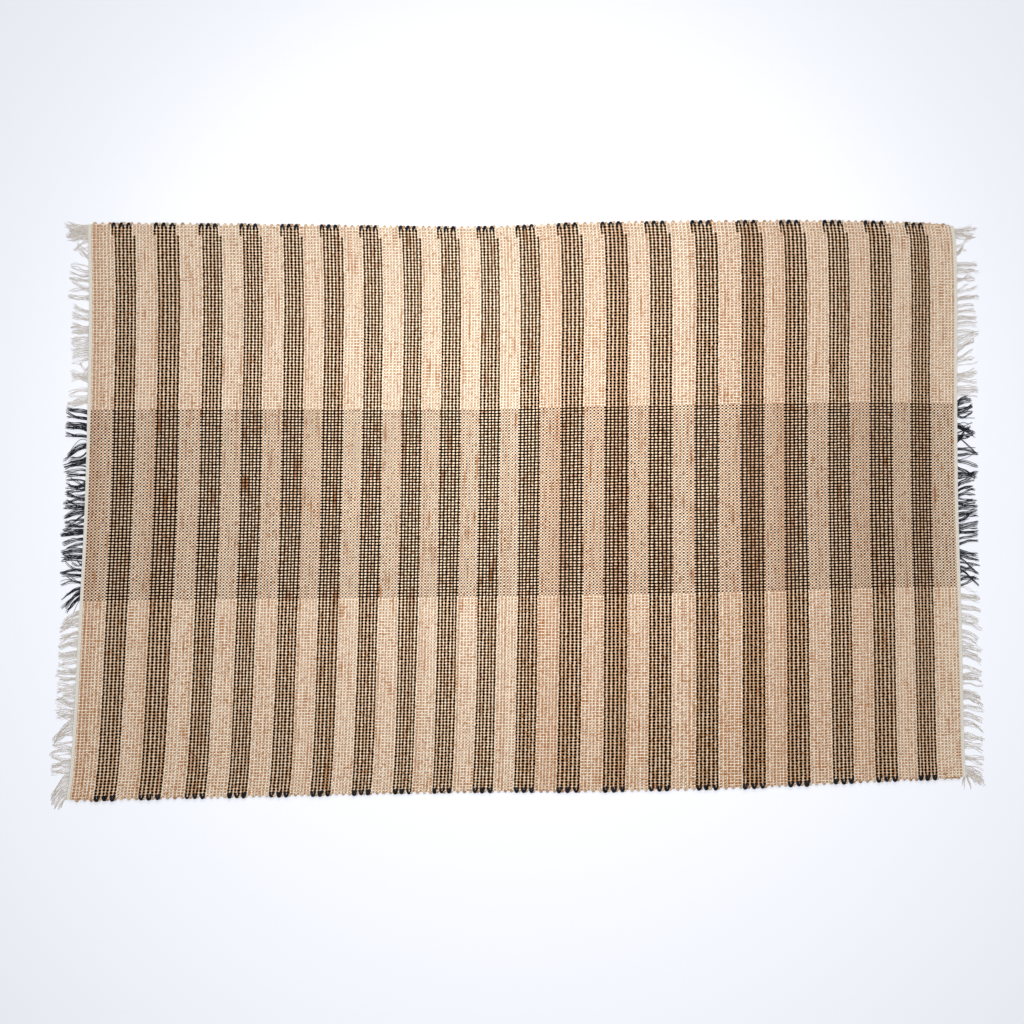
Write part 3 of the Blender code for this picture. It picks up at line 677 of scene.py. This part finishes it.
# The warp ends left beyond the headings, clump by clump down each end. In mm from the
# far corner of that end: (root, tip, reach, bow, threads), a bow above 0 sags to the near side.
fringeChart = {
    "left_far": (
        (5, 1, 49, 2.1, 5), (12, 15, 36, -3.2, 5), (21, 24, 46, 3.2, 5), (26, 30, 42, -2.1, 5),
        (3, -3, 41, 4.0, 4), (8, 21, 40, -5.2, 4), (15, 6, 42, 5.1, 4), (24, 13, 38, -5.0, 4),
        (18, 33, 33, 6.0, 4), (28, 17, 35, 6.2, 3), (7, 26, 31, 2.1, 4), (31, 5, 23, 2.1, 3),
        (38, 55, 30, -4.2, 3), (48, 56, 29, 2.1, 2), (57, 38, 23, 3.2, 2), (67, 46, 23, 2.1, 2),
        (75, 62, 18, -2.1, 2), (93, 86, 37, -4.2, 2), (102, 89, 36, 2.1, 3), (110, 104, 39, 2.1, 2),
        (111, 103, 34, 4.2, 2), (121, 116, 40, 2.1, 3), (124, 118, 40, -2.1, 2),
        (137, 120, 35, 4.2, 3), (144, 144, 41, -3.2, 3), (156, 154, 43, 2.1, 4),
        (163, 158, 39, -2.1, 3), (189, 173, 31, 2.1, 4), (191, 180, 32, -2.1, 3),
        (197, 189, 33, 2.1, 2), (204, 194, 35, 2.1, 3), (206, 202, 34, 0, 2),
        (221, 213, 35, 2.1, 3), (227, 221, 37, -2.1, 3), (230, 230, 35, 2.1, 4),
        (235, 233, 34, -2.1, 3), (242, 246, 34, 0, 2), (251, 251, 36, -2.1, 5),
        (258, 258, 35, 2.1, 4), (268, 272, 36, 0, 3), (264, 267, 27, 2.1, 2),
        (275, 283, 34, -3.2, 3), (282, 290, 34, -2.1, 4), (290, 299, 34, 2.1, 2),
        (292, 304, 18, -4.2, 2), (314, 299, 16, 4.2, 2), (307, 328, 10, -2.1, 2),
        (321, 317, 36, 4.2, 3), (331, 323, 34, 2.1, 4), (335, 335, 34, -4.2, 3),
        (340, 328, 20, 0, 2), (357, 366, 38, -3.2, 4), (369, 371, 36, 0, 2),
        (376, 385, 39, -2.1, 4), (383, 388, 42, -2.1, 4), (380, 392, 32, 1.1, 3),
    ),
    "left_black": (
        (405, 398, 43, -1.1, 6), (417, 403, 43, 4.2, 3), (417, 415, 43, -1.5, 2),
        (419, 415, 22, 0, 3), (432, 427, 42, -2.1, 4), (433, 434, 44, 0, 6),
        (441, 438, 43, -1.1, 5), (444, 433, 28, 0, 3), (455, 447, 42, 2.1, 2),
        (457, 454, 44, -1.5, 4), (466, 483, 32, -7.4, 1), (473, 494, 40, -3.2, 4),
        (476, 498, 38, -1.1, 3), (480, 508, 47, -2.1, 3), (489, 501, 33, 7.4, 3),
        (502, 511, 36, 2.1, 5), (507, 518, 45, 0, 6), (511, 524, 44, -1.1, 5),
        (521, 521, 42, -3.2, 2), (530, 534, 44, -4.2, 3), (540, 542, 40, -2.1, 3),
        (537, 534, 41, 2.1, 3), (553, 549, 40, -3.2, 2), (561, 566, 40, 2.1, 3),
        (566, 544, 32, -2.1, 2), (570, 555, 39, 3.2, 2), (568, 574, 41, 2.1, 4),
        (553, 568, 18, 0, 4), (557, 560, 37, 4.2, 2), (580, 582, 41, 3.2, 3),
        (591, 574, 39, 3.2, 4), (589, 599, 44, -1.5, 4), (608, 591, 38, 2.1, 3),
        (606, 604, 42, 0, 3), (608, 608, 43, 1.1, 4), (600, 596, 43, 1.1, 3),
        (616, 627, 43, -3.6, 5), (620, 630, 41, -2.1, 4), (634, 641, 40, -2.1, 3),
        (621, 648, 35, 2.1, 2), (648, 636, 40, 3.2, 2), (636, 655, 39, 1.1, 3),
        (648, 647, 38, -1.1, 3), (659, 666, 47, 1.1, 6), (657, 656, 42, -1.1, 5),
        (662, 667, 47, 0, 4), (674, 682, 41, -2.5, 3), (676, 688, 41, -1.5, 3),
        (685, 695, 34, -1.1, 4), (699, 702, 43, -1.1, 6), (712, 708, 42, 0.6, 6),
        (714, 716, 39, -1.1, 5), (723, 721, 41, -3.2, 2), (740, 722, 34, 4.2, 2),
        (725, 723, 20, 6.3, 2), (731, 719, 9, 1.1, 2), (741, 746, 43, -2.5, 4),
        (751, 747, 42, 1.1, 3), (752, 749, 42, 0, 3), (754, 762, 42, 1.5, 1),
        (768, 752, 28, 1.1, 2), (767, 772, 41, -3.6, 3), (778, 801, 37, -2.1, 4),
        (780, 793, 30, -1.1, 3), (786, 820, 30, -2.1, 5), (791, 821, 39, -2.1, 3),
        (796, 818, 19, 0, 3), (801, 823, 23, -1.1, 4), (797, 830, 28, 0, 2), (799, 834, 14, 0, 1),
    ),
    "left_near": (
        (829, 849, 31, -2.1, 4), (833, 860, 36, -2.1, 4), (846, 864, 38, -2.1, 5),
        (848, 870, 37, 0, 2), (857, 861, 35, 0, 3), (871, 881, 37, 2.1, 3), (873, 892, 38, -2.1, 4),
        (881, 885, 36, 2.1, 2), (890, 906, 39, -2.1, 4), (894, 902, 38, 0, 4),
        (900, 897, 24, 2.1, 2), (918, 921, 38, -2.1, 5), (913, 925, 37, 0, 4),
        (921, 930, 30, 2.1, 3), (934, 944, 39, -2.1, 3), (946, 939, 37, 4.2, 2),
        (953, 958, 40, -1.1, 5), (955, 953, 40, 2.1, 4), (967, 963, 41, 3.2, 2),
        (970, 972, 34, 0, 3), (981, 979, 38, 2.1, 3), (988, 995, 38, -2.1, 4),
        (995, 991, 35, 2.1, 4), (999, 1005, 26, 0, 3), (1009, 1015, 40, -2.5, 4),
        (1020, 1011, 36, 2.1, 4), (1028, 1020, 36, -1.1, 3), (1034, 1028, 36, 2.1, 2),
        (1041, 1038, 38, -2.1, 3), (1046, 1041, 35, 2.1, 3), (1049, 1051, 35, -2.1, 2),
        (1053, 1049, 30, 1.1, 2), (1056, 1104, 42, -5.2, 4), (1067, 1095, 41, -4.2, 4),
        (1074, 1093, 33, -2.1, 3), (1083, 1102, 37, -2.1, 4), (1088, 1091, 32, -2.1, 2),
        (1102, 1107, 41, 0, 2), (1116, 1110, 39, -2.1, 4), (1123, 1125, 44, -5.2, 3),
        (1137, 1131, 43, 4.2, 3), (1128, 1132, 43, -2.1, 2), (1144, 1151, 40, -2.1, 3),
        (1151, 1154, 41, -2.1, 4), (1158, 1169, 38, -2.1, 4), (1164, 1161, 38, 2.1, 3),
        (1174, 1216, 37, -9.5, 4), (1183, 1218, 36, -7.4, 5), (1193, 1225, 34, -6.3, 4),
        (1202, 1232, 31, -5.2, 5), (1209, 1239, 25, -4.2, 5), (1216, 1241, 16, -3.2, 4),
        (1218, 1237, 11, -2.1, 3),
    ),
    "right_far": (
        (9, 0, 35, 2.1, 3), (9, 9, 47, 2.1, 3), (13, 4, 45, -2.1, 2), (21, 26, 34, -2.1, 4),
        (15, 21, 38, 2.1, 4), (26, 26, 43, 2.1, 1), (45, 21, 32, 2.1, 3), (56, 45, 13, 4.2, 3),
        (62, 54, 20, -6.3, 2), (64, 47, 10, 2.1, 2), (83, 85, 42, -1.1, 4), (86, 83, 40, 1.1, 3),
        (95, 99, 44, -2.1, 3), (100, 95, 38, 2.1, 3), (119, 118, 39, -3.2, 2),
        (121, 107, 30, -2.1, 3), (112, 112, 37, 2.1, 2), (143, 131, 41, 1.1, 4),
        (141, 126, 22, -3.2, 2), (160, 151, 44, -2.1, 3), (158, 154, 45, -2.1, 3),
        (175, 171, 34, -3.2, 4), (186, 185, 38, -2.1, 3), (188, 179, 34, -1.1, 2),
        (199, 200, 38, -2.1, 4), (201, 196, 40, -1.1, 3), (214, 212, 40, -1.1, 5),
        (229, 231, 44, -2.1, 4), (242, 229, 34, -2.1, 3), (251, 234, 43, -2.1, 4),
        (261, 248, 34, -2.1, 3), (272, 246, 36, -3.2, 4), (285, 268, 32, 1.1, 3),
        (289, 283, 38, -1.1, 2), (295, 287, 31, -1.1, 2), (300, 293, 43, 1.1, 1),
        (320, 314, 41, 2.1, 3), (323, 308, 36, 0, 1), (325, 323, 34, -1.1, 3),
        (334, 336, 39, -1.1, 4), (332, 317, 41, -1.1, 2), (351, 351, 43, -2.1, 5),
        (356, 356, 43, 2.1, 4), (366, 368, 43, -2.1, 2),
    ),
    "right_black": (
        (379, 366, 21, -2.1, 2), (387, 373, 29, -7.4, 4), (388, 377, 29, -2.1, 3),
        (401, 387, 30, 1.1, 5), (394, 388, 30, 1.1, 4), (406, 401, 31, 7.4, 3),
        (407, 400, 31, -1.7, 3), (411, 414, 35, 1.1, 1), (426, 426, 32, -2.1, 1),
        (429, 449, 35, 0, 6), (432, 444, 33, 2.1, 5), (437, 424, 31, -2.1, 1), (446, 432, 29, 0, 2),
        (451, 446, 35, 2.1, 3), (458, 432, 21, 0, 2), (463, 454, 26, -2.1, 4), (465, 446, 14, 0, 3),
        (454, 490, 42, 1.1, 2), (480, 489, 40, -1.1, 4), (480, 478, 40, -2.1, 1),
        (493, 489, 41, 0, 4), (505, 491, 33, 0, 1), (505, 516, 41, 0, 5), (520, 539, 38, 1.1, 5),
        (531, 529, 41, 2.1, 4), (541, 529, 37, 2.1, 4), (534, 539, 37, -2.1, 5),
        (555, 539, 28, -2.1, 4), (560, 546, 35, -4.2, 3), (569, 558, 32, -3.2, 3),
        (571, 567, 35, -6.3, 2), (578, 565, 32, -2.1, 2), (581, 577, 36, -3.2, 3),
        (584, 586, 32, 3.2, 2), (595, 591, 38, -1.1, 4), (597, 594, 36, 2.1, 2),
        (607, 603, 40, -1.1, 5), (596, 602, 40, 2.1, 3), (619, 611, 39, -1.1, 5),
        (622, 622, 40, -2.1, 5), (632, 616, 26, 0, 3), (633, 624, 21, 1.5, 3), (644, 637, 41, 0, 6),
        (652, 648, 39, -2.1, 3), (656, 654, 39, 0, 3), (659, 661, 39, -2.5, 3),
        (671, 664, 36, -1.5, 3), (683, 675, 38, -4.2, 4), (697, 705, 37, 1.1, 6),
        (706, 716, 41, 0, 5), (720, 728, 41, 0, 2), (711, 744, 36, 0, 3), (730, 745, 38, -1.1, 4),
        (743, 725, 27, 0, 2), (749, 757, 37, -2.1, 2), (758, 751, 31, -2.1, 4),
        (735, 771, 38, 0, 3), (770, 753, 33, -1.1, 3),
    ),
    "right_near": (
        (772, 786, 33, -1.1, 1), (790, 796, 37, -1.1, 4), (793, 799, 39, 1.1, 5),
        (815, 822, 40, -1.1, 5), (830, 843, 35, -2.1, 3), (840, 845, 33, -2.1, 3),
        (847, 865, 41, -2.1, 3), (845, 847, 31, 1.1, 2), (866, 882, 33, -1.5, 4),
        (878, 892, 30, -1.1, 3), (889, 899, 22, -1.1, 3), (899, 908, 40, -1.1, 4),
        (906, 925, 38, -2.1, 3), (915, 931, 38, -2.1, 4), (918, 915, 31, -1.1, 3),
        (941, 952, 39, -2.1, 4), (960, 957, 39, -3.2, 4), (967, 971, 37, -4.2, 3),
        (963, 965, 32, 1.1, 3), (975, 983, 41, 0, 2), (993, 1006, 33, -3.2, 4),
        (994, 1008, 35, -2.1, 3), (999, 1023, 39, -3.2, 4), (1006, 1017, 38, -1.1, 3),
        (1025, 1032, 41, -1.1, 4), (1041, 1055, 39, -2.1, 5), (1055, 1076, 39, -3.2, 3),
        (1062, 1069, 34, -2.1, 3), (1083, 1095, 40, -2.5, 4), (1088, 1092, 38, 1.1, 3),
        (1109, 1118, 37, -4.6, 4), (1101, 1106, 36, -1.1, 3), (1129, 1132, 41, 2.5, 4),
        (1132, 1146, 36, -1.5, 4), (1148, 1157, 38, -1.1, 1), (1161, 1187, 39, -5.2, 4),
        (1163, 1182, 26, -3.2, 4), (1166, 1194, 9, -2.1, 5), (1169, 1192, -6, -1.1, 4),
        (1170, 1187, -11, 0, 3), (1158, 1177, 36, 4.2, 5), (1163, 1186, 31, -6.0, 5),
        (1168, 1181, 20, -4.2, 5), (1155, 1168, 33, -5.2, 4),
    ),
}

fringe = {
    "steps": 11, "sides": 4,
    # split: threads drawn for each one in the chart, single: how far each strays on its own
    "cream": {"thick": 0.80 * mm, "spread": 1.3 * mm, "wave": 1.0 * mm, "lift": 1.6 * mm,
              "split": 1.6, "single": 3.0 * mm},
    "black": {"thick": 1.1 * mm, "spread": 1.1 * mm, "wave": 0.8 * mm, "lift": 2.4 * mm,
              "split": 1.3, "single": 1.5 * mm},
    "rootSpread": 1.15,
    "start": 1.2 * mm,        # how far in under the last pick a thread begins
    "free": 2.2 * mm,         # the chart's reach counts from here, beyond the heading
    "stray": 0.8 * mm,        # how far a tip strays from its place
    "wrap": 0.64,             # how far the threads of a clump wind about each other
    "rootHigh": 1.9 * mm, "rootFall": 0.16,   # a thread leaves the cloth and sinks to the floor
    "taper": ((0, 0.1, 0.85, 1.0), (0.8, 1.0, 0.95, 0.6)),
}


def makeFringe(name, rows, material):
    side = -1 if "left" in name else 1
    kind = fringe["black" if "black" in name else "cream"]
    rng = np.random.default_rng(len(rows) * 7)
    edgePick = -0.5 if side < 0 else loom["picks"] - 0.5
    farCorner = clothPoint(edgePick, ends - 0.5)[1]
    nearCorner = clothPoint(edgePick, -0.5)[1]
    t, radius = np.linspace(0, 1, fringe["steps"]), kind["thick"] / 2
    paths, tones = [], []
    for root, tip, reach, bow, threads in rows:
        twist, phase = rng.uniform(0.3, 0.9) * rng.choice((-1, 1)), rng.uniform(0, 2 * math.pi)
        high = rng.uniform(0.2, 1.0)
        waves, wavePhase = rng.uniform(0.6, 1.3), rng.uniform(0, 2 * math.pi)
        threads = round(threads * kind["split"])
        for k in range(threads):
            o = k - (threads - 1) / 2
            startY = farCorner - root * mm - o * kind["spread"] * fringe["rootSpread"]
            startY = min(max(startY, nearCorner + mm), farCorner - mm)
            tipY = farCorner - tip * mm - o * kind["spread"] * rng.uniform(0.5, 1.5)
            tipY += rng.normal(0, fringe["stray"])
            across = (startY - nearCorner) / (farCorner - nearCorner)
            startX = clothPoint(edgePick, across * ends - 0.5)[0]
            startX += side * (2 * gap + heading["width"] - fringe["start"])
            long = reach * mm * rng.uniform(0.9, 1.04)
            x = startX + side * (fringe["start"] + fringe["free"] + long) * t
            y = startY + (tipY - startY) * t ** 1.25 - bow * mm * np.sin(math.pi * t ** 0.8)
            swing = np.sin(math.pi * t)
            y += kind["wave"] * swing * np.sin(2 * math.pi * waves * t + wavePhase)
            y += kind["single"] * rng.uniform(0.2, 1.0) * t * np.sin(
                2 * math.pi * rng.uniform(0.8, 2.2) * t + rng.uniform(0, 6))
            turn = 2 * math.pi * twist * t + phase + k * 2.2
            y += fringe["wrap"] * kind["spread"] * swing * np.cos(turn)
            z = radius + (fringe["rootHigh"] - radius) * np.exp(-((t / fringe["rootFall"]) ** 2))
            z += kind["lift"] * high * swing * (0.55 + 0.45 * np.sin(turn))
            paths.append(np.column_stack((x, y, z)))
            tones.append(rng.random())
    radii = np.outer([radius] * len(paths), np.interp(t, *fringe["taper"]))
    radii *= rng.uniform(0.85, 1.15, (len(paths), 1))
    piece = yarns(f"{name}_threads", np.array(paths), radii, fringe["sides"], np.array(tones),
                  [material])
    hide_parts(name)
    return piece


def yarnMaterial(name, roughness, low, high, twist, relief):
    # one spun yarn: shade by yarn, a twist line every so many mm with painted shade in its groove,
    # a little uneven fibre
    material, tree, shader = newMaterial(name, roughness)
    calc = mathIn(tree)
    uv = addNode(tree, "ShaderNodeUVMap", uv_map="yarn")
    split = addNode(tree, "ShaderNodeSeparateXYZ", {0: uv}, give=None)
    along, around = split.outputs[0], split.outputs[1]
    tone = addNode(tree, "ShaderNodeAttribute", give="Fac", attribute_name="tone")
    fibreSeed = addNode(tree, "ShaderNodeCombineXYZ", {
        0: calc("MULTIPLY", along, 0.8), 1: calc("MULTIPLY", tone, 50.0), 2: around})
    fibre = addNode(tree, "ShaderNodeTexNoise", {"Vector": fibreSeed, "Scale": 1.0, "Detail": 2.0},
                    give=0)
    pale = calc("MULTIPLY_ADD", fibre, 0.9, calc("MULTIPLY_ADD", tone, 0.7, -0.3), clamp=True)
    colour = blend(tree, pale, linear(low), linear(high))
    turns = calc("MULTIPLY_ADD", along, 1.0 / twist, around)
    ply = calc("SINE", calc("MULTIPLY", turns, 2 * math.pi))
    # painted shade: the colour darkens in the groove of each twist
    shade = spread(tree, ply, -1.0, -0.2, 0.72, 1.0)
    colour = addNode(tree, "ShaderNodeVectorMath", {0: colour, "Scale": shade}, operation="SCALE")
    surface(tree, shader, colour, ply, relief)
    return material


# Fine cotton in the heading: cream, soft and matt, a rib at each warp end, with painted shade
# between the ribs.
def headingMaterial():
    material, tree, shader = newMaterial("cotton_heading_matt", 0.9)
    calc = mathIn(tree)
    uv = addNode(tree, "ShaderNodeUVMap", uv_map="threads")
    split = addNode(tree, "ShaderNodeSeparateXYZ", {0: uv}, give=None)
    rib = calc("MULTIPLY", calc("COSINE", calc("MULTIPLY", split.outputs[0], 2 * math.pi)),
               calc("COSINE", calc("MULTIPLY", split.outputs[1], math.pi)))
    noise = addNode(tree, "ShaderNodeTexNoise", {"Vector": uv, "Scale": 0.9, "Detail": 3.0}, give=0)
    # painted shade and highlight: darker in the hollows between ribs, paler on their crests
    pale = calc("MULTIPLY_ADD", rib, 0.35, noise, clamp=True)
    colour = blend(tree, pale, linear(headingCloth["low"]), linear(headingCloth["high"]))
    surface(tree, shader, colour, rib, headingCloth["relief"])
    return material


cloth = weaveMaterial()
fieldPieces = makeField(cloth)
print("field woven:", sum(len(p.data.polygons) for p, flat in fieldPieces), "faces")

creamHeading = headingMaterial()
headingPieces = {side: makeHeading(name, side, creamHeading)
                 for name, side in (("heading_left", -1), ("heading_right", 1))}
print("headings woven")

juteYarn = yarnMaterial("jute_single_yarn_matt", 0.9, "#A06C3C", "#EBD6B6", 5.5, 0.3)
blackYarn = yarnMaterial("dyed_jute_yarn_matt", 0.85, "#0E0E11", "#26262B", 5.5, 0.3)
selvagePieces = makeSelvages([juteYarn, blackYarn])
print("selvages turned:", sum(len(p.data.polygons) for p in selvagePieces), "faces")

creamThread = yarnMaterial("cotton_thread_undyed", 0.85, "#C2B3A0", "#FDF9F2", 2.4, 0.12)
blackThread = yarnMaterial("cotton_thread_dyed_black", 0.7, "#0C0D10", "#383A43", 2.4, 0.12)
fringePieces = {}
for name, rows in fringeChart.items():
    thread = blackThread if "black" in name else creamThread
    fringePieces[name] = makeFringe(f"fringe_{name}", rows, thread)
print("fringe laid:", sum(len(p.data.polygons) for p in fringePieces.values()), "faces")

# The room's plain floor, soft light from the far side, and the camera overhead.
studio = {
    "distance": 3.98, "tilt": 3.8, "lens": 66.0,   # metres, degrees, mm
    "floor": "#F2F3F8", "floorSize": 6.0,
    "floorDrop": 0.2 * mm,                         # so that floor and rug never share a plane
    "sky": "#EEF2FC", "skyStrength": 0.34,
    # (name, place, aim, size, fan in degrees, watts)
    "lamps": (("softbox_above", (-0.02, -0.2, 2.9), (0.0, -0.2, 0.0), 1.6, 180, 67.0),
              ("softbox_far", (0.3, 5.0, 4.0), (0.0, 0.0, 0.0), 1.0, 180, 88.0),
              ("softbox_gridded", (0.0, 0.34, 2.6), (0.0, 0.30, 0.0), 0.7, 36, 1.8)),
}


def makeFloor():
    sheet = bmesh.new()
    bmesh.ops.create_grid(sheet, x_segments=1, y_segments=1, size=studio["floorSize"])
    mesh = bpy.data.meshes.new("floor")
    sheet.to_mesh(mesh)
    sheet.free()
    floor = bpy.data.objects.new("floor", mesh)
    floor.location.z = cadBounds[0][2] - studio["floorDrop"]
    bpy.context.scene.collection.objects.link(floor)
    material, tree, shader = newMaterial("painted_floor_matt", 0.9)
    shader.inputs["Base Color"].default_value = linear(studio["floor"])
    mesh.materials.append(material)
    return floor


def makeLights():
    scene = bpy.context.scene
    world = bpy.data.worlds.new("studio")
    scene.world = world
    world.use_nodes = True
    sky = world.node_tree.nodes["Background"]
    sky.inputs["Color"].default_value = linear(studio["sky"])
    sky.inputs["Strength"].default_value = studio["skyStrength"]
    for name, place, aim, size, fan, power in studio["lamps"]:
        lamp = bpy.data.lights.new(name, "AREA")
        lamp.size = size
        lamp.spread = math.radians(fan)
        lamp.energy = power
        thing = bpy.data.objects.new(name, lamp)
        thing.location = place
        thing.rotation_euler = (Vector(aim) - Vector(place)).to_track_quat("-Z", "Y").to_euler()
        scene.collection.objects.link(thing)
    scene.view_settings.view_transform = "Standard"


def makeCamera():
    camera = bpy.data.cameras.new("camera")
    camera.lens = studio["lens"]
    thing = bpy.data.objects.new("camera", camera)
    tilt = math.radians(studio["tilt"])
    thing.location = (loomMiddle[0], loomMiddle[1] - studio["distance"] * math.sin(tilt),
                      studio["distance"] * math.cos(tilt))
    thing.rotation_euler = (tilt, 0.0, 0.0)
    bpy.context.scene.collection.objects.link(thing)
    bpy.context.scene.camera = thing


floor = makeFloor()
makeLights()
makeCamera()
print("studio ready")

# fringe, headings and selvage turns go with the block that they are part of
trims = {number: [] for number in range(field["blocks"])}
for name, piece in fringePieces.items():
    trims[0 if "left" in name else field["blocks"] - 1].append(piece)
trims[0].append(headingPieces[-1])
trims[field["blocks"] - 1].append(headingPieces[1])
for number, piece in zip(selvage["onBlocks"], selvagePieces):
    trims[number].append(piece)
